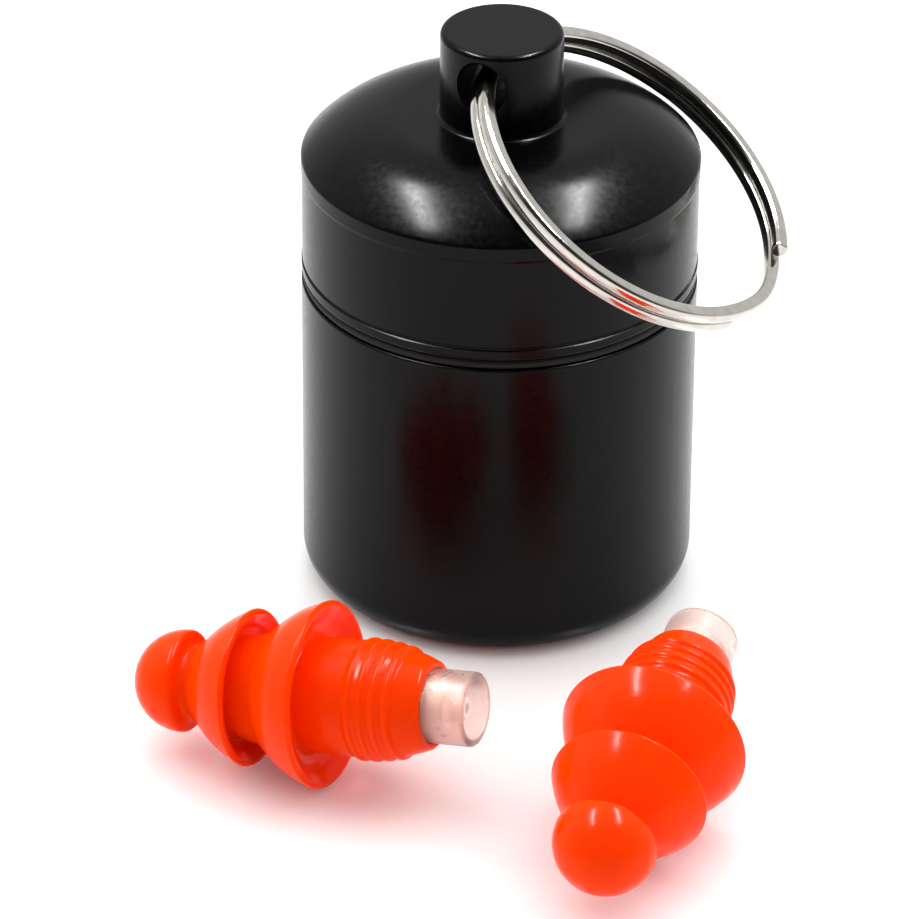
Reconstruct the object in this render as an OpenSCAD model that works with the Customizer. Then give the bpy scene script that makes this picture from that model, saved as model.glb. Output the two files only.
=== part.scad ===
/* [Case] */
// Outside diameter of the case
case_d = 26; // [24:0.5:30]
// Height of the cup's outside wall, up to the seal
cup_h = 21.9; // [18:0.5:28]
// Thickness of the cup's floor
floor_t = 1.5; // [1:0.1:2.5]
// Rounding of the cup's bottom edge
foot_r = 2.2; // [0.8:0.1:2.4]

/* [Neck and thread] */
// Height of the threaded neck above the seal
neck_h = 4.6; // [3.6:0.2:5.4]
// Depth by which the neck sits in from the outside wall
neck_inset = 1.25; // [1.1:0.05:1.4]
// Thickness of the neck's wall, round the bore that holds the ear plugs
neck_wall = 0.75; // [0.6:0.05:1.5]
// Height of the thread ridge
thread_h = 0.4; // [0.3:0.05:0.45]
// Pitch of the thread
thread_pitch = 1.5; // [1.25:0.05:1.75]
// Gap between the two threads, all round
thread_gap = 0.12; // [0.1:0.01:0.16]
// Thickness of the rubber seal between cup and cap
seal_t = 0.7; // [0.5:0.05:1]

/* [Cap] */
// Height of the cap's straight outside wall
cap_wall_h = 8.2; // [7.4:0.2:12]
// Rise of the cap's domed shoulder
dome_rise = 2.85; // [2.4:0.05:3.4]
// Angle of the shoulder where it meets the wall
dome_angle = 48; // [42:1:54]
// Thickness of the cap's top
cap_top_t = 1.6; // [1.2:0.1:2]
// Height of the plain lip at the cap's lower edge
lip_h = 0.72; // [0.5:0.02:1]
// Depth by which the gripping wall sits back from the lip
wall_relief = 0.05; // [0.03:0.01:0.1]

/* [Knob and split ring] */
// Diameter of the knob
knob_d = 8; // [7:0.25:10]
// Height of the knob above the cap's top
knob_h = 6.02; // [5.6:0.1:8]
// Diameter of the hole across the knob
hole_d = 3.3; // [3.1:0.1:3.6]
// Depth of the hole's centre below the knob's top
hole_drop = 2.45; // [2.3:0.05:2.7]
// Direction of the hole, turned from the Y axis
hole_turn = 21; // [0:1:45]
// Outside diameter of the split ring
ring_d = 23.8; // [22:0.2:30]
// Thickness of the ring's wire, across the ring
wire_w = 0.98; // [0.8:0.02:1.1]
// Thickness of one coil of the wire, along the ring's axis
wire_t = 0.9; // [0.7:0.02:1]
// Length of the split ring's single stretch, as an angle
ring_gap = 45; // [30:1:60]

/* [Ear plugs] */
// Length of the silicone, from the tip to the back of the stem
sleeve_l = 20.75; // [18:0.25:26]
// Diameter of the tip flange
flange_1_d = 6.6; // [6:0.1:8]
// Diameter of the middle flange
flange_2_d = 10.1; // [9:0.1:11]
// Diameter of the rear flange
flange_3_d = 12; // [11:0.1:14]
// Distance from one flange's rim to the next one's
flange_step = 5.12; // [4.6:0.02:6]
// Thickness of a flange at its rim
flange_t = 0.55; // [0.4:0.05:0.8]
// Diameter of the stem
stem_d = 7.6; // [7:0.1:8.4]
// Number of grip ribs round the stem
rib_count = 4; // [2:1:5]
// Diameter of the filter insert
filter_d = 4.74; // [4.2:0.02:5]
// Length of the insert that shows behind the stem
filter_out = 2.8; // [2:0.1:5]
// Length of the insert inside the stem
filter_in = 6; // [4:0.25:8]
// Diameter of the hollow that runs forward from the insert
channel_d = 1.8; // [1.2:0.1:2]
// Thickness of the closed silicone tip
tip_t = 1.6; // [1.2:0.1:2.2]
// Angle at which a plug's stem rises as it lies on its flanges
lie_angle = 8.5; // [6:0.5:10]

/* [Hidden] */
$fn = 96;

// Case
case_r = case_d / 2;
neck_r = case_r - neck_inset;
bore_r = neck_r - neck_wall;
crest_r = neck_r + thread_h;
edge = 0.12;
seal_inner_r = neck_r + 0.04;
seal_outer_r = case_r - 0.06;
cap_z = cup_h + seal_t;
wall_z = cap_z + lip_h;
shoulder_z = cap_z + cap_wall_h;
top_z = shoulder_z + dome_rise;
land_h = 1.1;
wall_r = case_r - wall_relief;
cap_bore_r = crest_r + thread_gap;
thread_turns = (neck_h - 1.2) / thread_pitch;

// Dome: one arc from the flat top down to the shoulder
dome_r = dome_rise / (1 - cos(dome_angle));
flat_r = case_r - dome_r * sin(dome_angle);

// Knob and ring
knob_r = knob_d / 2;
knob_top_z = top_z + knob_h;
knob_edge = 0.35;
knob_foot = 0.3;
hole_z = knob_top_z - hole_drop;
hole_r = hole_d / 2;
hole_sink = 0.22;
ring_mid_r = (ring_d - wire_w) / 2;
// The wire bows inside the hole, so its middle stands this far past the hinge line
ring_bow = (ring_mid_r - sqrt(ring_mid_r * ring_mid_r - knob_r * knob_r)) / 2;
ring_reach = ring_mid_r - ring_bow;
ring_half_t = wire_t + 0.01;
rest_gap = 0.05;
// Lean at which the wire comes down on to the edge of the shoulder
ring_lean = settle(35, 8);

// Plugs: every length below runs along the plug's axis from its tip
rim_1 = 3.33;
rim_2 = rim_1 + 0.96 * flange_step;
rim_3 = rim_2 + flange_step;
flange_1_r = flange_1_d / 2;
flange_2_r = flange_2_d / 2;
flange_3_r = flange_3_d / 2;
stem_r = stem_d / 2;
filter_r = filter_d / 2;
filter_end = sleeve_l + filter_out;
filter_start = sleeve_l - filter_in;
channel_r = channel_d / 2;
fit_gap = 0.03;
neck_1_r = flange_1_r - 0.95;
neck_2_r = flange_2_r - 1.8;
tip_round = 0.4;
// The ribs keep their place along the stem, whatever its length
stem_l = sleeve_l - rim_3;
rib_pitch = 0.338 * stem_l / (rib_count - 1);
rib_r = min(0.3, 0.36 * rib_pitch);
rib_start = rim_3 + 0.394 * stem_l;
tail_start = rib_start + 0.379 * stem_l;
taper = (stem_r - 0.08 - (filter_r + 0.42)) / pow(sleeve_l - rib_start, 2);
// Where each plug's rear rim touches the table, and the way it points, tip to insert
left_at = [-10.5, -26.56];
left_turn = -22;
right_at = [10.05, -30.99];
right_turn = 71.5;

// Points of an arc round [x, y], from angle a to angle b
function arc(x, y, r, a, b, n = 8) =
  [for (i = [0:n]) [x + r * cos(a + (b - a) * i / n), y + r * sin(a + (b - a) * i / n)]];

// Quarter of an ellipse from the tip's point to its widest place
function bow(length, radius, n = 10) =
  [for (i = [0:n]) [length * (1 - cos(90 * i / n)), radius * sin(90 * i / n)]];

// How far out along its lean the ring's inner edge crosses the edge of the shoulder
function crossing(lean) =
  let (
    b = ring_mid_r - wire_w / 2,
    a = b * cos(lean),
    c = ring_reach * cos(lean),
    qa = 1 / (a * a) - 1 / (b * b),
    qb = -2 * c / (a * a),
    qc = c * c / (a * a) + case_r * case_r / (b * b) - 1
  )
  (-qb - sqrt(qb * qb - 4 * qa * qc)) / (2 * qa);

// Lean of the resting ring, worked out by going round a few times
function settle(lean, rounds) =
  rounds == 0 ? lean :
  settle(atan((hole_z - shoulder_z - ring_half_t / cos(lean) - rest_gap) / crossing(lean)), rounds - 1);

// A helical ridge: root radius r, height h outward (or inward where h is negative)
module thread_ridge(r, h, base_w, crest_w, turns, steps = 40) {
  count = floor(turns * steps);
  sink = h > 0 ? -0.08 : 0.08;
  section = [[r + sink, -base_w / 2], [r + h, -crest_w / 2], [r + h, crest_w / 2], [r + sink, base_w / 2]];
  points = [
    for (i = [0:count])
      for (p = section)
        let (a = 360 * i / steps)
        [p[0] * cos(a), p[0] * sin(a), p[1] + thread_pitch * i / steps]
  ];
  sides = [
    for (i = [0:count - 1])
      for (j = [0:3])
        let (k = (j + 1) % 4)
        each [
          [4 * i + j, 4 * i + k, 4 * i + 4 + k],
          [4 * i + j, 4 * i + 4 + k, 4 * i + 4 + j]
        ]
  ];
  last = 4 * count;
  ends = [[3, 2, 1], [3, 1, 0], [last, last + 1, last + 2], [last, last + 2, last + 3]];
  faces = concat(sides, ends);
  flipped = [for (f = faces) [f[2], f[1], f[0]]];
  polyhedron(points = points, faces = h > 0 ? faces : flipped);
}

module case_cup() {
  outline = concat(
    [[0, 0]],
    arc(case_r - foot_r, foot_r, foot_r, -90, 0, 10),
    [[case_r, cup_h - edge], [case_r - edge, cup_h], [neck_r, cup_h]],
    [[neck_r, cap_z + neck_h - 0.3], [neck_r - 0.3, cap_z + neck_h]],
    [[bore_r + 0.15, cap_z + neck_h], [bore_r, cap_z + neck_h - 0.15]],
    arc(bore_r - 1, floor_t + 1, 1, 0, -90, 6),
    [[0, floor_t]]
  );
  color([0.05, 0.05, 0.06])
  union() {
    rotate_extrude() polygon(outline);
    translate([0, 0, cap_z + 0.75]) thread_ridge(neck_r, thread_h, 1.0, 0.35, thread_turns);
  }
}

module case_seal() {
  bulge = seal_t / 2;
  color([0.03, 0.03, 0.03])
  translate([0, 0, cup_h])
  rotate_extrude()
  polygon(concat(
    [[seal_inner_r, 0]],
    arc(seal_outer_r - bulge, bulge, bulge, -90, 90, 10),
    [[seal_inner_r, seal_t]]
  ));
}

module case_cap() {
  inner_dome_r = dome_r - cap_top_t;
  roof_r = bore_r + 0.3;
  roof_angle = asin((roof_r - flat_r) / inner_dome_r);
  outline = concat(
    [[cap_bore_r + edge, cap_z], [case_r - 0.2, cap_z]],
    arc(case_r - 0.2, cap_z + 0.2, 0.2, -90, 0, 4),
    [[case_r, wall_z], [wall_r - 0.09, wall_z + 0.08], [wall_r, wall_z + 0.2]],
    [[wall_r, shoulder_z - land_h], [case_r, shoulder_z - land_h + 0.15], [case_r, shoulder_z]],
    arc(flat_r, top_z - dome_r, dome_r, 90 - dome_angle, 90, 14),
    arc(knob_r + knob_foot, top_z + knob_foot, knob_foot, -90, -180, 5),
    arc(knob_r - knob_edge, knob_top_z - knob_edge, knob_edge, 0, 90, 6),
    [[0, knob_top_z], [0, top_z - cap_top_t]],
    arc(flat_r, top_z - dome_r, inner_dome_r, 90, 90 - roof_angle, 8),
    [[roof_r, cap_z + neck_h + 1.0], [cap_bore_r, cap_z + neck_h + 0.7], [cap_bore_r, cap_z + edge]]
  );
  color([0.05, 0.05, 0.06])
  difference() {
    union() {
      rotate_extrude() polygon(outline);
      translate([0, 0, cap_z + 0.75])
        rotate([0, 0, 180]) thread_ridge(cap_bore_r, -thread_h, 0.75, 0.2, thread_turns);
    }
    knob_hole();
  }
}

// The hole across the knob, with both mouths countersunk
module knob_hole() {
  translate([0, 0, hole_z])
  rotate([0, 0, -hole_turn])
  rotate([90, 0, 0]) {
    cylinder(h = knob_d + 2, r = hole_r, center = true);
    for (side = [0, 180])
      rotate([0, side, 0])
      translate([0, 0, knob_r - 2 * hole_sink])
      cylinder(h = 4 * hole_sink, r1 = hole_r - hole_sink, r2 = hole_r + 3 * hole_sink);
  }
}

// Section of the wire, r out from the ring's axis at height z
function wire_section(r, z) =
  let (w = wire_w / 2, t = wire_t / 2, c = 0.28)
  [
    [r + w, z + c - t], [r + w, z + t - c], [r + w - c, z + t], [r + c - w, z + t],
    [r - w, z + t - c], [r - w, z + c - t], [r + c - w, z - t], [r + w - c, z - t]
  ];

// The whole wire as one sweep: the first coil at height lift, the crossing, then the second coil
module ring_wire(lift, half) {
  coil = 360 - ring_gap;
  coil_steps = 84;
  cross_steps = 14;
  count = 2 * coil_steps + cross_steps;
  m = 8;
  points = [
    for (i = [0:count])
      let (
        s = min(max((i - coil_steps) / cross_steps, 0), 1),
        first = coil * min(i, coil_steps) / coil_steps,
        second = coil * max(i - coil_steps - cross_steps, 0) / coil_steps,
        q = half + first + ring_gap * s + second,
        z = lift * (1 - 2 * s * s * (3 - 2 * s))
      )
      for (p = wire_section(ring_mid_r, z))
        [p[0] * cos(q), p[0] * sin(q), p[1]]
  ];
  sides = [
    for (i = [0:count - 1])
      for (j = [0:m - 1])
        let (k = (j + 1) % m)
        each [
          [m * i + j, m * i + k, m * i + m + k],
          [m * i + j, m * i + m + k, m * i + m + j]
        ]
  ];
  last = m * count;
  start_cap = [for (j = [1:m - 2]) [0, j + 1, j]];
  end_cap = [for (j = [1:m - 2]) [last, last + j, last + j + 1]];
  polyhedron(points = points, faces = concat(sides, start_cap, end_cap));
}

// Local frame of the ring: hinge line along Y through the origin, ring centre out along X
module ring_frame() {
  translate([0, 0, hole_z])
  rotate([0, 0, -hole_turn])
  rotate([0, ring_lean, 0])
  translate([ring_reach, 0, 0])
  children();
}

module split_ring() {
  color([0.75, 0.73, 0.68])
  ring_frame()
  ring_wire(ring_half_t - wire_t / 2, ring_gap / 2);
}

// Puts a plug, drawn along X from its tip, where its rear flange lies on the table
module lie(at, turn) {
  rim_r = flange_t / 2;
  translate([at[0], at[1], (flange_3_r - rim_r) * cos(lie_angle) + rim_r * (1 + sin(lie_angle))])
  rotate([0, 0, turn])
  rotate([0, -lie_angle, 0])
  translate([-rim_3, 0, 0])
  children();
}

// Turns a profile of [along, radius] points into a solid round the X axis
module turned(profile) {
  rotate([0, 90, 0])
  rotate_extrude()
  polygon([for (p = profile) [p[1], p[0]]]);
}

// Conical front of a flange, bulged a little between its two ends
function flare(x0, y0, x1, y1, bulge, n = 8) =
  [for (i = [0:n]) [x0 + (x1 - x0) * i / n, y0 + (y1 - y0) * i / n + bulge * sin(180 * i / n)]];

// Rounded rim, bevelled back face and shallow hollow of one flange, back to the stem at root_r
function rim(at, r, root_r) =
  let (t = flange_t / 2, inner = r - 0.95, drop = inner - root_r)
  concat(
    arc(at - t, r - t, t, 90, -20, 6),
    [[at - 0.45, inner], [at - 0.9, inner - 0.45 * drop], [at - 1.08, inner - 0.75 * drop]],
    [[at - 1.05, root_r + 0.1], [at - 0.8, root_r]]
  );

// Radius of the stem under its ribs, which falls away towards the back
function stem_at(x) = stem_r - 0.08 - taper * pow(max(x - rib_start, 0), 2);

module sleeve() {
  profile = concat(
    bow(rim_1, flange_1_r),
    arc(rim_1, flange_1_r - tip_round, tip_round, 75, 0, 5),
    [[rim_1 + 0.47, neck_1_r + 0.3], [rim_1 + 0.7, neck_1_r]],
    flare(rim_1 + 1.1, neck_1_r + 0.05, rim_2 - flange_t / 2, flange_2_r, 0.3),
    rim(rim_2, flange_2_r, neck_2_r),
    flare(rim_2 + 1.1, neck_2_r + 0.4, rim_3 - flange_t / 2, flange_3_r, 0.35),
    rim(rim_3, flange_3_r, stem_r - 0.12),
    [[rib_start - 0.5, stem_r - 0.08]],
    [
      for (i = [0:rib_count - 1])
        let (x = rib_start + rib_pitch * i)
        each arc(x, stem_at(x) - 0.1, rib_r, 150, 30, 4)
    ],
    [for (i = [1:6]) let (x = tail_start + (sleeve_l - 0.15 - tail_start) * i / 6) [x, stem_at(x)]],
    [[sleeve_l, stem_at(sleeve_l) - 0.15], [sleeve_l, filter_r + fit_gap]],
    [[filter_start - fit_gap, filter_r + fit_gap], [filter_start - fit_gap, channel_r]],
    [[tip_t, channel_r], [tip_t, 0]]
  );
  color([0.96, 0.33, 0.05])
  turned(profile);
}

module filter_shell() {
  wall = 0.55;
  recess = 1.1;
  core_r = filter_r - wall;
  color([0.93, 0.9, 0.86, 0.6])
  turned(concat(
    [[filter_start, core_r - 0.5], [filter_start, filter_r - 0.3], [filter_start + 0.3, filter_r]],
    arc(filter_end - 0.25, filter_r - 0.25, 0.25, 90, 0, 4),
    [[filter_end, core_r + 0.1], [filter_end - recess, core_r]],
    [[filter_end - recess - 3.2, core_r], [filter_end - recess - 3.2, core_r - 0.5]]
  ));
}

module filter_core() {
  core_r = filter_r - 0.55;
  back = filter_end - 1.1;
  color([0.97, 0.95, 0.92])
  turned([
    [back - 2.9, 0.35], [back - 2.9, core_r - 0.02], [back - 0.35, core_r - 0.02],
    [back - 0.35, 0.85], [back + 0.35, 0.7], [back + 0.5, 0.55], [back + 0.5, 0.35]
  ]);
}

module filter_mesh() {
  core_r = filter_r - 0.55;
  front = filter_end - 1.1 - 3.2;
  color([0.6, 0.6, 0.6])
  turned([[front, 0], [front, core_r - 0.02], [front + 0.28, core_r - 0.02], [front + 0.28, 0]]);
}

module left_sleeve() { lie(left_at, left_turn) sleeve(); }
module left_filter_shell() { lie(left_at, left_turn) filter_shell(); }
module left_filter_core() { lie(left_at, left_turn) filter_core(); }
module left_filter_mesh() { lie(left_at, left_turn) filter_mesh(); }
module right_sleeve() { lie(right_at, right_turn) sleeve(); }
module right_filter_shell() { lie(right_at, right_turn) filter_shell(); }
module right_filter_core() { lie(right_at, right_turn) filter_core(); }
module right_filter_mesh() { lie(right_at, right_turn) filter_mesh(); }

case_cup();
case_seal();
case_cap();
split_ring();
left_sleeve();
left_filter_shell();
left_filter_core();
left_filter_mesh();
right_sleeve();
right_filter_shell();
right_filter_core();
right_filter_mesh();
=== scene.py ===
# %% [markdown]
# # A travel set of ear plugs
#
# The set is a screw-top key-ring capsule, turned from aluminium and anodised black, with a pair of soft
# orange silicone ear plugs beside it. Each plug has three flanges and carries a clear plastic insert.
#
# The engineering model already fixes every size, place and joint, so this lesson only gives each piece
# its fine shape and its finish. We load that model first.
# %% Load the engineering model
import math

import bmesh
import bpy
from mathutils import Matrix, Vector


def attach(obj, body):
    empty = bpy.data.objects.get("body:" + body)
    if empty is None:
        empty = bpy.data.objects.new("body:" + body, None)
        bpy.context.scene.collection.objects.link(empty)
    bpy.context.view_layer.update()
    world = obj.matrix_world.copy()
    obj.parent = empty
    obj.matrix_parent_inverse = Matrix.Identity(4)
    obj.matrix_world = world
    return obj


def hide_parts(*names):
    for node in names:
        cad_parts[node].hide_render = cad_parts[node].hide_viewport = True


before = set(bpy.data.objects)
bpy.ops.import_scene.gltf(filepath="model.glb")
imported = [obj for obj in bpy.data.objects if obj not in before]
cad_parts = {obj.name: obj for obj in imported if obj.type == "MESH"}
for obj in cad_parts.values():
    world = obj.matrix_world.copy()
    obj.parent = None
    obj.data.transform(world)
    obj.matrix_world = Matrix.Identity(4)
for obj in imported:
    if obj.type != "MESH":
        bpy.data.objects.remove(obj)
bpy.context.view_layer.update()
print("nodes:", sorted(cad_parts))

# %% [markdown]
# ## Tools for turned pieces
#
# Nearly everything here comes off a lathe or out of a round mould, so one tool does most of the work:
# draw half of the outline in millimetres and spin it. Corners are drawn as small arcs, because a real
# edge is never perfectly sharp and it is the rounding that catches the light.
#
# Smooth shading blends the light across each edge loop. On a long straight wall that would smear a
# corner's shading over the whole wall, so `held` adds a loop close to both ends of each long line.
# %% Tools: arcs, held corners and spun pieces
MM = 0.001


def arc(r, z, size, start, end, steps=10):
    """Points of an arc round (r, z), from one angle to another in degrees."""
    turns = [math.radians(start + (end - start) * i / steps) for i in range(steps + 1)]
    return [(r + size * math.cos(t), z + size * math.sin(t)) for t in turns]


def held(outline, gap=0.05):
    """The same outline with a point close to both ends of each long straight line."""
    points = [outline[0]]
    for (r0, z0), (r1, z1) in zip(outline, outline[1:]):
        length = math.hypot(r1 - r0, z1 - z0)
        if length > 6 * gap:
            for share in (gap / length, 1 - gap / length):
                points.append((r0 + (r1 - r0) * share, z0 + (z1 - z0) * share))
        points.append((r1, z1))
    return points


def spin_outline(mesh, outline, steps=256, closed=False):
    """Spins an outline of (radius, height) points, in millimetres, round the Z axis."""
    if closed:
        outline = outline + [outline[0]]
    outline = held(outline)
    corners = [mesh.verts.new((r * MM, 0, z * MM)) for r, z in outline]
    lines = [mesh.edges.new(pair) for pair in zip(corners, corners[1:])]
    bmesh.ops.spin(mesh, geom=corners + lines, cent=(0, 0, 0), axis=(0, 0, 1), angle=2 * math.pi,
                   steps=steps, use_merge=True)
    bmesh.ops.remove_doubles(mesh, verts=mesh.verts, dist=2e-7)
    bmesh.ops.recalc_face_normals(mesh, faces=mesh.faces)


def join(mesh, other):
    """Adds the faces of the other shape to the first one and lets go of the other."""
    spare = bpy.data.meshes.new("spare")
    other.to_mesh(spare)
    other.free()
    mesh.from_mesh(spare)
    bpy.data.meshes.remove(spare)


def finish_piece(mesh, name, finish, body, node, place=None):
    """Makes the object, smooths it, hangs it on its body's empty and hides the model part it replaces."""
    if place is not None:
        bmesh.ops.transform(mesh, matrix=place, verts=mesh.verts)
    data = bpy.data.meshes.new(name)
    mesh.to_mesh(data)
    mesh.free()
    data.shade_smooth()
    data.materials.append(finish)
    piece = bpy.data.objects.new(name, data)
    bpy.context.scene.collection.objects.link(piece)
    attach(piece, body)
    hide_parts(node)
    print(f"{name}: {len(data.vertices)} points, {len(data.polygons)} faces")
    return piece


# %% [markdown]
# ## Finishes
#
# A finish is a small network of nodes. The helper below starts one and adds two kinds of detail that
# every real surface has: a roughness that wanders a little, and a faint bump. Both read Object
# coordinates, in metres, so a noise scale of 2000 gives grains of about half a millimetre.
# %% Tools: a finish with grain
def new_finish(name, colour, roughness, **sockets):
    """A Principled finish with its constants set straight on the shader."""
    finish = bpy.data.materials.new(name)
    finish.use_nodes = True
    shader = finish.node_tree.nodes["Principled BSDF"]
    shader.inputs["Base Color"].default_value = (*colour, 1)
    shader.inputs["Roughness"].default_value = roughness
    for socket, value in sockets.items():
        shader.inputs[socket.replace("_", " ")].default_value = value
    print("finish:", name)
    return finish


def add_noise(finish, scale, detail=3.0):
    """A noise pattern on the piece's own coordinates."""
    nodes, links = finish.node_tree.nodes, finish.node_tree.links
    coords = nodes.new("ShaderNodeTexCoord")
    noise = nodes.new("ShaderNodeTexNoise")
    noise.inputs["Scale"].default_value = scale
    noise.inputs["Detail"].default_value = detail
    links.new(coords.outputs["Object"], noise.inputs["Vector"])
    return noise.outputs["Fac"]


PATTERN_LOW, PATTERN_HIGH = 0.3, 0.7


def vary(finish, pattern, socket, low, high):
    """Lets the middle of a pattern's range move one socket between two values."""
    nodes, links = finish.node_tree.nodes, finish.node_tree.links
    spread = nodes.new("ShaderNodeMapRange")
    spread.inputs["From Min"].default_value = PATTERN_LOW
    spread.inputs["From Max"].default_value = PATTERN_HIGH
    spread.inputs["To Min"].default_value = low
    spread.inputs["To Max"].default_value = high
    links.new(pattern, spread.inputs["Value"])
    links.new(spread.outputs["Result"], nodes["Principled BSDF"].inputs[socket])


def add_bump(finish, pattern, height, strength=1.0):
    """A bump of a real height, in millimetres, at a share of its full strength."""
    nodes, links = finish.node_tree.nodes, finish.node_tree.links
    bump = nodes.new("ShaderNodeBump")
    bump.inputs["Distance"].default_value = height * MM
    bump.inputs["Strength"].default_value = strength
    links.new(pattern, bump.inputs["Height"])
    links.new(bump.outputs["Normal"], nodes["Principled BSDF"].inputs["Normal"])


def vary_colour(finish, pattern, dark, light):
    """Lets a pattern move the base colour between two colours."""
    nodes, links = finish.node_tree.nodes, finish.node_tree.links
    ramp = nodes.new("ShaderNodeValToRGB")
    ramp.color_ramp.elements[0].position = PATTERN_LOW
    ramp.color_ramp.elements[0].color = (*dark, 1)
    ramp.color_ramp.elements[1].position = PATTERN_HIGH
    ramp.color_ramp.elements[1].color = (*light, 1)
    links.new(pattern, ramp.inputs["Fac"])
    links.new(ramp.outputs["Color"], nodes["Principled BSDF"].inputs["Base Color"])


# %% [markdown]
# ### Black anodised aluminium
#
# Anodising grows a hard, slightly porous glassy skin on the metal and dyes it. Seen head on it is almost
# black, and it only turns bright towards the edges, so it behaves like dark plastic under a thin gloss
# rather than like bare metal. A low specular level keeps the front dark. The fine grain is the etched
# metal under the dye.
# %% Finish: black anodised aluminium
black_anodised = new_finish("black_anodised", (0.002, 0.002, 0.0023), 0.24, Specular_IOR_Level=0.11)
grain = add_noise(black_anodised, 2600, 4)
vary(black_anodised, grain, "Roughness", 0.19, 0.27)
vary_colour(black_anodised, grain, (0.0005, 0.0005, 0.0007), (0.0018, 0.0018, 0.0022))
add_bump(black_anodised, grain, 0.002, 0.25)

# %% [markdown]
# ### Seal rubber, nickel plate
#
# The seal is a matt black nitrile ring. The split ring is nickel-plated spring steel: bright, a little
# warm, and drawn through a die, which leaves fine streaks along the wire.
# %% Finishes: seal rubber and nickel plate
seal_rubber = new_finish("seal_rubber", (0.006, 0.006, 0.006), 0.62, Specular_IOR_Level=0.25)
add_bump(seal_rubber, add_noise(seal_rubber, 5200, 3), 0.006, 0.6)

bright_nickel = new_finish("bright_nickel", (0.72, 0.69, 0.64), 0.14, Metallic=1.0)
streaks = add_noise(bright_nickel, 1500, 4)
vary(bright_nickel, streaks, "Roughness", 0.09, 0.15)
vary_colour(bright_nickel, streaks, (0.52, 0.495, 0.455), (0.6, 0.575, 0.53))
add_bump(bright_nickel, streaks, 0.002, 0.3)

# %% [markdown]
# ### Silicone and insert plastic
#
# Silicone lets light soak in and wander a few millimetres before it comes out, which is why thin flange
# rims glow and deep hollows turn red. Subsurface scattering does the same: red travels far, green a
# little, blue hardly at all. The insert is a clear plastic gone milky, with a white core inside.
# %% Finishes: silicone and insert plastics
orange_silicone = new_finish(
    "orange_silicone", (0.96, 0.046, 0.0), 0.18, Subsurface_Weight=0.6, Subsurface_Scale=0.0012,
    Subsurface_Radius=(1.0, 0.3, 0.02), Specular_IOR_Level=0.06)
skin = add_noise(orange_silicone, 900, 4)
vary(orange_silicone, skin, "Roughness", 0.14, 0.22)
add_bump(orange_silicone, add_noise(orange_silicone, 2400, 3), 0.004, 0.5)

# The pink in this base colour is painted light: it stands in for orange light from the silicone round the
# clear insert.
frosted_insert_painted_pink = new_finish(
    "frosted_insert_painted_pink", (1.0, 0.78, 0.72), 0.28, Transmission_Weight=0.88, IOR=1.35,
    Specular_IOR_Level=0.3)
vary(frosted_insert_painted_pink, add_noise(frosted_insert_painted_pink, 500, 2), "Roughness", 0.24, 0.34)

white_core = new_finish(
    "white_core", (0.92, 0.88, 0.84), 0.4, Subsurface_Weight=0.4, Subsurface_Scale=0.001)
vary(white_core, add_noise(white_core, 1500, 3), "Roughness", 0.32, 0.5)

grey_mesh = new_finish("grey_mesh", (0.6, 0.6, 0.6), 0.7)
weave = add_noise(grey_mesh, 9000, 2)
vary_colour(grey_mesh, weave, (0.3, 0.3, 0.3), (0.7, 0.7, 0.7))
add_bump(grey_mesh, weave, 0.02)

# %% [markdown]
# ## The cup
#
# The cup is one turned piece: a flat base with a rounded edge, a plain wall, a ledge for the seal and a
# narrower threaded neck. The wall's outline is spun once. The thread is a small trapezium spun with a
# rise for each step, and its crest fades out close to both ends, the way a cutter runs out.
# %% Piece: the cup
CASE_R = 13.0
CUP_H = 21.9
FLOOR_T = 1.5
FOOT_R = 2.2
WALL_EDGE = 0.12
SEAL_T = 0.7
CAP_Z = CUP_H + SEAL_T
NECK_R = CASE_R - 1.25
NECK_BORE = NECK_R - 0.75
NECK_TOP = CAP_Z + 4.6
NECK_EDGE = 0.3
BORE_EDGE = 0.15
BORE_FILLET = 1.0
THREAD_Z = CAP_Z + 0.75
THREAD_H = 0.4
PITCH = 1.5
TURNS = 2.26
STEPS_PER_TURN = 96
ROOT_SINK = 0.08
RUN_OUT = 0.2
LEAD = 0.12


def add_thread(mesh, root, height, base, crest, start_angle=0.0):
    """A helical ridge, outwards or, with a negative height, inwards.

    Its root is sunk a little into the wall. Each corner of its crest fades by how far it has climbed, so
    the lower one grows over the first RUN_OUT of a turn and the upper one shrinks over the last.
    """
    steps = round(TURNS * STEPS_PER_TURN)
    sink = math.copysign(ROOT_SINK, -height)
    corners = [(root + sink, -base / 2), (root + height, -crest / 2), (root + height, crest / 2),
               (root + sink, base / 2)]
    ridge = bmesh.new()
    points = [ridge.verts.new((r * MM, 0, z * MM)) for r, z in corners]
    lines = [ridge.edges.new((points[i], points[(i + 1) % 4])) for i in range(4)]
    first = list(lines)
    spun = bmesh.ops.spin(ridge, geom=points + lines, cent=(0, 0, 0), axis=(0, 0, 1), steps=steps,
                          angle=2 * math.pi * steps / STEPS_PER_TURN,
                          dvec=(0, 0, PITCH / STEPS_PER_TURN * MM))
    last = [e for e in spun["geom_last"] if isinstance(e, bmesh.types.BMEdge)]
    bmesh.ops.holes_fill(ridge, edges=first + last, sides=4)
    for v in ridge.verts:
        r = math.hypot(v.co.x, v.co.y)
        along = v.co.z / MM / PITCH
        to_end = min(along, TURNS - along) + LEAD
        fade = max(0.0, min(1.0, to_end / RUN_OUT))
        if abs(r / MM - root - height) < 0.01:
            wanted = (root + sink + (height - sink) * fade) * MM
            v.co.x, v.co.y = v.co.x * wanted / r, v.co.y * wanted / r
    bmesh.ops.recalc_face_normals(ridge, faces=ridge.faces)
    to_start = Matrix.Translation((0, 0, THREAD_Z * MM)) @ Matrix.Rotation(start_angle, 4, "Z")
    bmesh.ops.transform(ridge, verts=ridge.verts, matrix=to_start)
    join(mesh, ridge)


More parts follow.
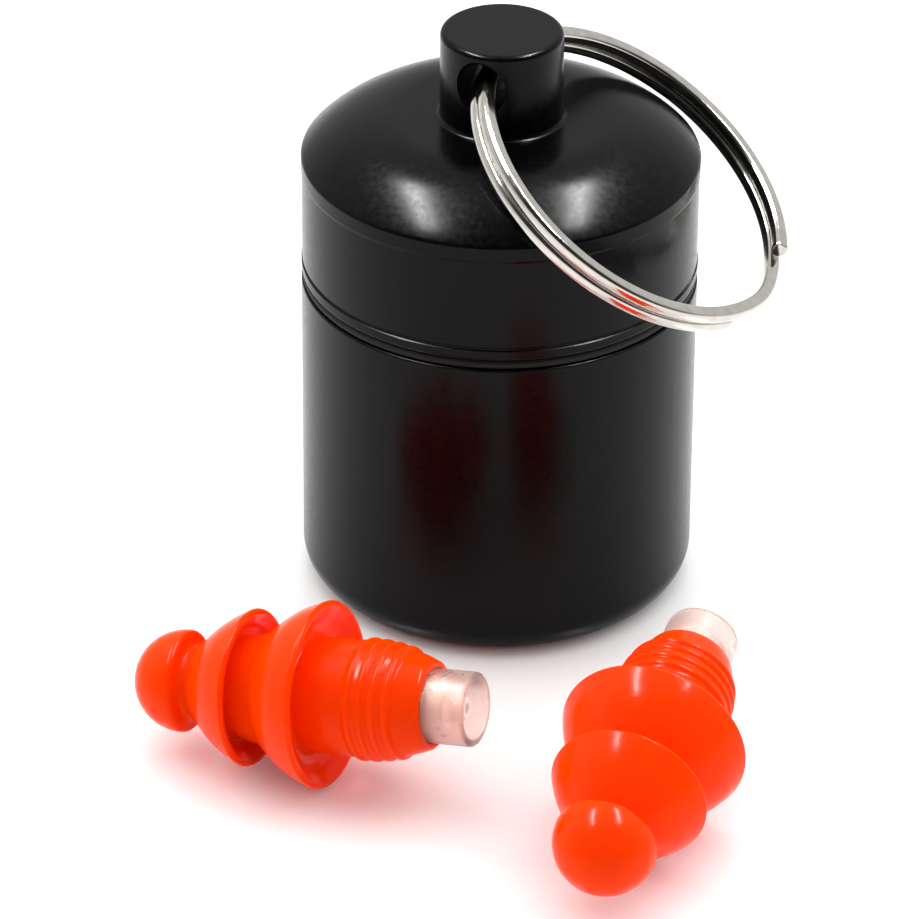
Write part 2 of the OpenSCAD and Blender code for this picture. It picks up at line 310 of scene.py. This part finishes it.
cup = bmesh.new()
spin_outline(cup, [
    (0, 0), *arc(CASE_R - FOOT_R, FOOT_R, FOOT_R, -90, 0, 24),
    *arc(CASE_R - WALL_EDGE, CUP_H - WALL_EDGE, WALL_EDGE, 0, 90, 4), (NECK_R, CUP_H),
    (NECK_R, NECK_TOP - NECK_EDGE), (NECK_R - NECK_EDGE, NECK_TOP),
    (NECK_BORE + BORE_EDGE, NECK_TOP), (NECK_BORE, NECK_TOP - BORE_EDGE),
    *arc(NECK_BORE - BORE_FILLET, FLOOR_T + BORE_FILLET, BORE_FILLET, 0, -90, 10), (0, FLOOR_T)])
add_thread(cup, NECK_R, THREAD_H, 1.0, 0.35)
finish_piece(cup, "cup", black_anodised, "case", "case_cup")

# %% [markdown]
# ## The seal
#
# A rubber ring fills the gap between cup and cap. Its outside is squeezed into a soft bulge, so a
# half-round outline is enough.
# %% Piece: the seal
SEAL_BORE = NECK_R + 0.04
SEAL_R = CASE_R - 0.06
BULGE = SEAL_T / 2

seal = bmesh.new()
spin_outline(seal, [(SEAL_BORE, CUP_H), *arc(SEAL_R - BULGE, CUP_H + BULGE, BULGE, -90, 90, 12),
                    (SEAL_BORE, CAP_Z)], closed=True)
finish_piece(seal, "seal", seal_rubber, "seal", "case_seal")

# %% [markdown]
# ## The cap
#
# The cap has a plain lip, a fine groove, a wall set back by a hair's breadth, a domed shoulder and a
# knob, all in one outline. The hole across the knob is drilled afterwards, so here too it is cut
# afterwards, with a cutter that is itself a spun outline: a drill that widens at both mouths.
# %% Piece: the cap
WALL_Z = CAP_Z + 0.72
SHOULDER_Z = CAP_Z + 8.2
WALL_R = CASE_R - 0.05
GROOVE_R = CASE_R - 0.14
LIP_ROUND = 0.2
DOME_H = 2.85
DOME_ANGLE = 48.0
DOME_R = DOME_H / (1 - math.cos(math.radians(DOME_ANGLE)))
FLAT_R = CASE_R - DOME_R * math.sin(math.radians(DOME_ANGLE))
TOP_Z = SHOULDER_Z + DOME_H
DOME_Z = TOP_Z - DOME_R
ROOF_T = 1.6
KNOB_R = 4.0
KNOB_TOP = TOP_Z + 6.02
KNOB_FOOT = 0.3
KNOB_EDGE = 0.35
HOLE_Z = KNOB_TOP - 2.45
HOLE_TURN = math.radians(21)
HOLE_R = 1.65
MOUTH_R = 2.1
BORE_R = NECK_R + THREAD_H + 0.12

cap = bmesh.new()
spin_outline(cap, [
    *arc(CASE_R - LIP_ROUND, CAP_Z + LIP_ROUND, LIP_ROUND, -90, 0, 6), (CASE_R, WALL_Z - 0.04),
    (GROOVE_R, WALL_Z + 0.04), (GROOVE_R, WALL_Z + 0.14), (WALL_R, WALL_Z + 0.24),
    (WALL_R, SHOULDER_Z - 1.1), (CASE_R, SHOULDER_Z - 0.95), (CASE_R, SHOULDER_Z - 0.05),
    *arc(FLAT_R, DOME_Z, DOME_R, 90.4 - DOME_ANGLE, 90, 40),
    *arc(KNOB_R + KNOB_FOOT, TOP_Z + KNOB_FOOT, KNOB_FOOT, -90, -180, 8),
    *arc(KNOB_R - KNOB_EDGE, KNOB_TOP - KNOB_EDGE, KNOB_EDGE, 0, 90, 8), (0, KNOB_TOP)])
inside = bmesh.new()
spin_outline(inside, [
    (0, TOP_Z - ROOF_T), *arc(FLAT_R, DOME_Z, DOME_R - ROOF_T, 90, 48, 14), (11.3, CAP_Z + 5.6),
    (BORE_R, CAP_Z + 5.3), (BORE_R, CAP_Z + 0.12), (BORE_R + 0.12, CAP_Z),
    (CASE_R - LIP_ROUND, CAP_Z)])
bmesh.ops.reverse_faces(inside, faces=inside.faces)
join(cap, inside)
bmesh.ops.remove_doubles(cap, verts=cap.verts, dist=1e-6)
bmesh.ops.recalc_face_normals(cap, faces=cap.faces)

drill = bmesh.new()
spin_outline(drill, [
    (0, -5), (MOUTH_R, -5), (MOUTH_R, -4.2), (HOLE_R, -3.62), (HOLE_R, 3.62), (MOUTH_R, 4.2),
    (MOUTH_R, 5), (0, 5)], steps=96)
across_knob = Matrix.Translation((0, 0, HOLE_Z * MM)) @ Matrix.Rotation(-HOLE_TURN, 4, "Z")
bmesh.ops.transform(drill, matrix=across_knob @ Matrix.Rotation(math.pi / 2, 4, "X"), verts=drill.verts)


def cut_away(mesh, cutter):
    """Cuts one closed mesh out of another with the Boolean modifier, and gives the result back."""
    pair = []
    for name, source in (("blank", mesh), ("cutter", cutter)):
        data = bpy.data.meshes.new(name)
        source.to_mesh(data)
        source.free()
        pair.append(bpy.data.objects.new(name, data))
        bpy.context.scene.collection.objects.link(pair[-1])
    cut = pair[0].modifiers.new("cut", "BOOLEAN")
    cut.operation, cut.solver, cut.object = "DIFFERENCE", "EXACT", pair[1]
    result = bmesh.new()
    result.from_object(pair[0], bpy.context.evaluated_depsgraph_get())
    for piece in pair:
        bpy.data.objects.remove(piece)
    return result


cap = cut_away(cap, drill)
add_thread(cap, BORE_R, -THREAD_H, 0.75, 0.2, math.pi)
cap_piece = finish_piece(cap, "cap", black_anodised, "cap", "case_cap")
cap_piece.data.set_sharp_from_angle(angle=math.radians(38))

# %% [markdown]
# ## The split ring
#
# A split ring is one length of spring wire wound into two touching coils, with a short crossing where it
# steps from one coil to the other. We draw the wire's section, a rounded rectangle, and carry it round
# in small steps. Each step is a tiny spin, and in the crossing each one also drops a little.
# %% Piece: the split ring
RING_R = 11.41
WIRE_W, WIRE_T = 0.98, 0.9
WIRE_CORNER = 0.3
COIL_GAP = 0.02
RING_BOW = 0.36
RING_LEAN = math.radians(35.586)
CROSSING = 45.0


def wire_section():
    """A rounded rectangle."""
    c = WIRE_CORNER
    w, t = WIRE_W / 2 - c, WIRE_T / 2 - c
    return [*arc(w, t, c, 0, 90, 5), *arc(-w, t, c, 90, 180, 5), *arc(-w, -t, c, 180, 270, 5),
            *arc(w, -t, c, 270, 360, 5)]


ring = bmesh.new()
lift = (WIRE_T + COIL_GAP) / 2
loop = [ring.verts.new(((RING_R + r) * MM, 0, (z + lift) * MM)) for r, z in wire_section()]
edges = [ring.edges.new((a, b)) for a, b in zip(loop, loop[1:] + loop[:1])]
last = loop + edges
coil_steps, cross_steps = 160, 24
coil = [((360 - CROSSING) / coil_steps, 0.0)] * coil_steps
ease = [s * s * (3 - 2 * s) for s in (i / cross_steps for i in range(cross_steps + 1))]
step_down = [(CROSSING / cross_steps, -2 * lift * (b - a)) for a, b in zip(ease, ease[1:])]
for turn, drop in coil + step_down + coil:
    spun = bmesh.ops.spin(ring, geom=last, cent=(0, 0, 0), axis=(0, 0, 1), angle=math.radians(turn),
                          dvec=(0, 0, drop * MM), steps=1)
    last = spun["geom_last"]
ends = edges + [e for e in last if isinstance(e, bmesh.types.BMEdge)]
caps = bmesh.ops.holes_fill(ring, edges=ends, sides=64)["faces"]
bmesh.ops.recalc_face_normals(ring, faces=ring.faces)
bmesh.ops.bevel(ring, geom=[e for f in caps for e in f.edges], offset=0.06 * MM, offset_type="OFFSET",
                segments=2, profile=0.5, affect="EDGES", material=-1, clamp_overlap=True)
place = (across_knob @ Matrix.Rotation(RING_LEAN, 4, "Y")
         @ Matrix.Translation(((RING_R - RING_BOW) * MM, 0, 0))
         @ Matrix.Rotation(math.radians(CROSSING / 2), 4, "Z"))
ring_piece = finish_piece(
    ring, "split_ring_wire", bright_nickel, "ring", "split_ring", place)
ring_piece.data.set_sharp_from_angle(angle=math.radians(50))

# %% [markdown]
# ## The ear plugs
#
# Each plug is moulded in one piece: a closed round tip, two more flanges that grow towards the back, and a
# stem with grip ribs. Both plugs share one outline and only lie differently, resting on the rim of the
# rear flange with the stem a little raised.
# %% Tool: where a plug lies
LIE = math.radians(8.5)
RIMS = (3.33, 8.245, 13.365)
RIM_R = (3.3, 5.05, 6.0)
FLANGE_T = 0.55


def lying(at, turn):
    """Carries a plug, drawn up the Z axis from its tip, to its place on the table."""
    rounding = FLANGE_T / 2
    height = (RIM_R[2] - rounding) * math.cos(LIE) + rounding * (1 + math.sin(LIE))
    return (Matrix.Translation((at[0] * MM, at[1] * MM, height * MM))
            @ Matrix.Rotation(math.radians(turn), 4, "Z") @ Matrix.Rotation(-LIE, 4, "Y")
            @ Matrix.Translation((-RIMS[2] * MM, 0, 0)) @ Matrix.Rotation(math.pi / 2, 4, "Y"))


SIDES = (("left", lying((-10.5, -26.56), -22)), ("right", lying((10.05, -30.99), 71.5)))
for side, place in SIDES:
    print(side, "tip at", [round(v / MM, 1) for v in place.translation], "mm")

# %% [markdown]
# The outline runs from the point of the tip, round its bulb and into a shallow groove, then out along the
# nearly straight cone of each flange. At a rim it turns round a small radius, steps down the bevelled back
# face and dips into a shallow hollow. Behind the last flange come four low ribs, and the stem falls away
# in a long taper to the insert.
# %% Piece: the silicone sleeves
SLEEVE_L = 20.75
INSERT_R = 2.37
INSERT_END = SLEEVE_L + 2.8
INSERT_START = SLEEVE_L - 6
POCKET_R = INSERT_R + 0.03
POCKET_Z = INSERT_START - 0.03
CHANNEL_R = 0.9
TIP_T = 1.6
TIP_ROUND = 0.4
BEVEL_W = 0.95
STEM_R = 3.72
STEM_TAPER = 0.04644
STEM_EDGE = 0.15
RIB_START = 16.275
RIB_PITCH = 0.832
RIB_R = 0.298
TAIL_START, TAIL_END = 19.074, 20.6


def bulb(length, radius, steps=18):
    """The closed tip, a quarter of an ellipse."""
    turns = [math.radians(90 * i / steps) for i in range(steps + 1)]
    return [(radius * math.sin(t), length * (1 - math.cos(t))) for t in turns]


def flare(r0, z0, r1, z1, bulge, steps=12):
    """The front of a flange: a cone, bulged a little in the middle."""
    shares = [i / steps for i in range(steps + 1)]
    return [(r0 + (r1 - r0) * s + bulge * math.sin(math.pi * s), z0 + (z1 - z0) * s) for s in shares]


def rim(at, r, root_r):
    """The rounded rim of a flange, its bevelled back and the hollow behind it."""
    t = FLANGE_T / 2
    inner = r - BEVEL_W
    drop = inner - root_r
    return [*arc(r - t, at - t, t, 0, 110, 8), (inner, at - 0.45), (inner - 0.22 * drop, at - 0.72),
            (inner - 0.45 * drop, at - 0.92), (inner - 0.75 * drop, at - 1.08), (root_r + 0.1, at - 1.05),
            (root_r, at - 0.8)]


def stem_at(z):
    """Radius of the stem under its ribs."""
    return STEM_R - STEM_TAPER * max(z - RIB_START, 0) ** 2


sleeve_outline = [
    *bulb(RIMS[0], RIM_R[0]),
    *arc(RIM_R[0] - TIP_ROUND, RIMS[0], TIP_ROUND, 12, 84, 6), (2.65, RIMS[0] + 0.47),
    (2.45, RIMS[0] + 0.57), (2.35, RIMS[0] + 0.74),
    *flare(2.4, RIMS[0] + 1.1, RIM_R[1], RIMS[1] - FLANGE_T / 2, 0.3), *rim(RIMS[1], RIM_R[1], 3.25),
    *flare(3.65, RIMS[1] + 1.1, RIM_R[2], RIMS[2] - FLANGE_T / 2, 0.35), *rim(RIMS[2], RIM_R[2], 3.68),
    (STEM_R, RIB_START - 0.5)]
for number in range(4):
    z = RIB_START + RIB_PITCH * number
    sleeve_outline += arc(stem_at(z) - 0.1, z, RIB_R, -60, 60, 8)
for number in range(9):
    z = TAIL_START + (TAIL_END - TAIL_START) * number / 8
    sleeve_outline.append((stem_at(z), z))
sleeve_outline += [
    *arc(stem_at(SLEEVE_L) - STEM_EDGE, SLEEVE_L - STEM_EDGE, STEM_EDGE, 20, 90, 4),
    (POCKET_R, SLEEVE_L), (POCKET_R, POCKET_Z), (CHANNEL_R, POCKET_Z), (CHANNEL_R, TIP_T), (0, TIP_T)]
for side, place in SIDES:
    sleeve = bmesh.new()
    spin_outline(sleeve, sleeve_outline, 192)
    finish_piece(
        sleeve, side + "_plug", orange_silicone, "plug_" + side, side + "_sleeve", place)

# %% [markdown]
# ## The inserts
#
# A clear plastic tube is pushed into each stem. It holds a white core with a small nub in the middle
# of its recessed end, and a disc of mesh at the bottom.
# %% Pieces: the inserts
TUBE_R = INSERT_R - 0.55
LEDGE_R = TUBE_R - 0.5
CORE_R = TUBE_R - 0.02
CORE_HOLE = 0.35
BACK = INSERT_END - 1.1
FRONT = BACK - 3.2
FRONT_ROUND, BACK_ROUND, MOUTH_ROUND = 0.3, 0.22, 0.1
shell_outline = [
    (LEDGE_R, INSERT_START),
    *arc(INSERT_R - FRONT_ROUND, INSERT_START + FRONT_ROUND, FRONT_ROUND, -90, 0, 6),
    *arc(INSERT_R - BACK_ROUND, INSERT_END - BACK_ROUND, BACK_ROUND, 0, 90, 6),
    *arc(TUBE_R + 0.16, INSERT_END - MOUTH_ROUND, MOUTH_ROUND, 90, 180, 4),
    (TUBE_R, BACK), (TUBE_R, FRONT), (LEDGE_R, FRONT)]
core_outline = [
    (CORE_HOLE, BACK - 2.9), (CORE_R, BACK - 2.9), *arc(CORE_R - 0.1, BACK - 0.45, 0.1, 0, 90, 4),
    (0.85, BACK - 0.35), (0.7, BACK + 0.35), *arc(0.52, BACK + 0.35, 0.18, 0, 90, 5),
    (CORE_HOLE, BACK + 0.5)]
mesh_outline = [(0, FRONT), (CORE_R, FRONT), (CORE_R, FRONT + 0.28), (0, FRONT + 0.28)]
for side, place in SIDES:
    for part, outline, finish, slot, closed in (
            ("shell", shell_outline, frosted_insert_painted_pink, "insert_plastic", True),
            ("core", core_outline, white_core, "core_plastic", True),
            ("mesh", mesh_outline, grey_mesh, "mesh_plastic", False)):
        piece = bmesh.new()
        spin_outline(piece, outline, 128, closed)
        finish_piece(piece, f"{side}_insert_{part}", finish, "insert_" + side,
                     f"{side}_filter_{part}", place)

# %% [markdown]
# ## The table, the light and the camera
#
# The set lies on a white glossy table in a white tent that is open, and so dark, on the viewer's side.
# That dark opening is what keeps the front of the black capsule black and draws dark lines along the
# ring's wire. The tent gives the soft light, and is dimmer where it is seen mirrored in a surface. Two
# strip lamps overhead run from front to back, one at each side, and only make the pairs of highlights on
# the dome and the plugs.
# %% Stage: table
TABLE_SIZE = 3.0

table_finish = new_finish("white_table", (0.95, 0.95, 0.95), 0.12, Specular_IOR_Level=0.35)
vary(table_finish, add_noise(table_finish, 40, 2), "Roughness", 0.1, 0.14)
table = bmesh.new()
bmesh.ops.create_grid(table, x_segments=1, y_segments=1, size=TABLE_SIZE)
data = bpy.data.meshes.new("table")
table.to_mesh(data)
table.free()
data.materials.append(table_finish)
table_top = bpy.data.objects.new("table", data)
bpy.context.scene.collection.objects.link(table_top)
print("table:", len(data.polygons), "face")

# %% Stage: light
TENT_LIGHT, TENT_MIRRORED = 2.7, 0.8
FRONT_LIGHT, FRONT_MIRRORED = 0.25, 0.05
DARK_FROM, BRIGHT_FROM = -0.6, 0.25

scene = bpy.context.scene
scene.view_settings.view_transform = "Standard"
world = bpy.data.worlds.new("white_tent")
world.use_nodes = True
nodes, links = world.node_tree.nodes, world.node_tree.links
backdrop = nodes["Background"]
rays = nodes.new("ShaderNodeLightPath")


def by_ray(for_light, for_mirrored):
    """One value for the light that falls on the set, another for what a shiny surface mirrors."""
    pick = nodes.new("ShaderNodeMapRange")
    pick.inputs["To Min"].default_value = for_light
    pick.inputs["To Max"].default_value = for_mirrored
    links.new(rays.outputs["Is Glossy Ray"], pick.inputs["Value"])
    return pick.outputs["Result"]


links.new(by_ray(TENT_LIGHT, TENT_MIRRORED), backdrop.inputs["Strength"])
direction = nodes.new("ShaderNodeTexCoord")
parts = nodes.new("ShaderNodeSeparateXYZ")
links.new(direction.outputs["Generated"], parts.inputs["Vector"])
fade = nodes.new("ShaderNodeMapRange")
fade.interpolation_type = "SMOOTHSTEP"
fade.inputs["From Min"].default_value = DARK_FROM
fade.inputs["From Max"].default_value = BRIGHT_FROM
fade.inputs["To Min"].default_value = FRONT_MIRRORED
fade.inputs["To Max"].default_value = 1.0
links.new(parts.outputs["Y"], fade.inputs["Value"])
lit = nodes.new("ShaderNodeMath")
lit.operation = "MAXIMUM"
links.new(fade.outputs["Result"], lit.inputs[0])
links.new(by_ray(FRONT_LIGHT, FRONT_MIRRORED), lit.inputs[1])
links.new(lit.outputs["Value"], backdrop.inputs["Color"])
scene.world = world


STRIP_L, STRIP_W = 0.3, 0.03
STRIP_POWER = 4.0
STRIP_AWAY = 0.45
SET_MIDDLE = Vector((0, -0.01, 0.015))


def highlight_lamp(name, azimuth, elevation):
    """A strip lamp that faces the set and is only seen in shiny surfaces."""
    light = bpy.data.lights.new(name, "AREA")
    light.shape = "RECTANGLE"
    light.size, light.size_y = STRIP_L, STRIP_W
    light.energy = STRIP_POWER
    lamp = bpy.data.objects.new(name, light)
    lamp.visible_diffuse = False
    scene.collection.objects.link(lamp)
    a, e = math.radians(azimuth), math.radians(elevation)
    towards = Vector((math.cos(a) * math.cos(e), math.sin(a) * math.cos(e), math.sin(e)))
    lamp.location = SET_MIDDLE + STRIP_AWAY * towards
    lamp.rotation_euler = towards.to_track_quat("Z", "Y").to_euler()
    print(f"{name}: {elevation} degrees up")


highlight_lamp("left_lamp", 171, 65)
highlight_lamp("right_lamp", 16, 66)

# %% Stage: camera
LENS = 230.76
AWAY = 0.39827
UP_FROM_TABLE = math.radians(31.974)
LOOK_DOWN = math.radians(31.052)
LOOK_ASIDE = math.radians(-0.43)
ROLL = math.radians(0.425)

camera_data = bpy.data.cameras.new("camera")
camera_data.lens = LENS
camera_data.sensor_width = 36
camera_data.clip_start = 0.01
camera = bpy.data.objects.new("camera", camera_data)
scene.collection.objects.link(camera)
ahead = Vector((math.sin(LOOK_ASIDE) * math.cos(LOOK_DOWN), math.cos(LOOK_ASIDE) * math.cos(LOOK_DOWN),
                -math.sin(LOOK_DOWN)))
level = Vector((math.cos(LOOK_ASIDE), -math.sin(LOOK_ASIDE), 0))
upright = level.cross(ahead)
across = math.cos(ROLL) * level + math.sin(ROLL) * upright
upwards = math.cos(ROLL) * upright - math.sin(ROLL) * level
back, up = AWAY * math.cos(UP_FROM_TABLE), AWAY * math.sin(UP_FROM_TABLE)
camera.matrix_world = Matrix((
    (across.x, upwards.x, -ahead.x, 0), (across.y, upwards.y, -ahead.y, -back),
    (across.z, upwards.z, -ahead.z, up), (0, 0, 0, 1)))
scene.camera = camera
print("camera:", round(AWAY, 3), "m away")
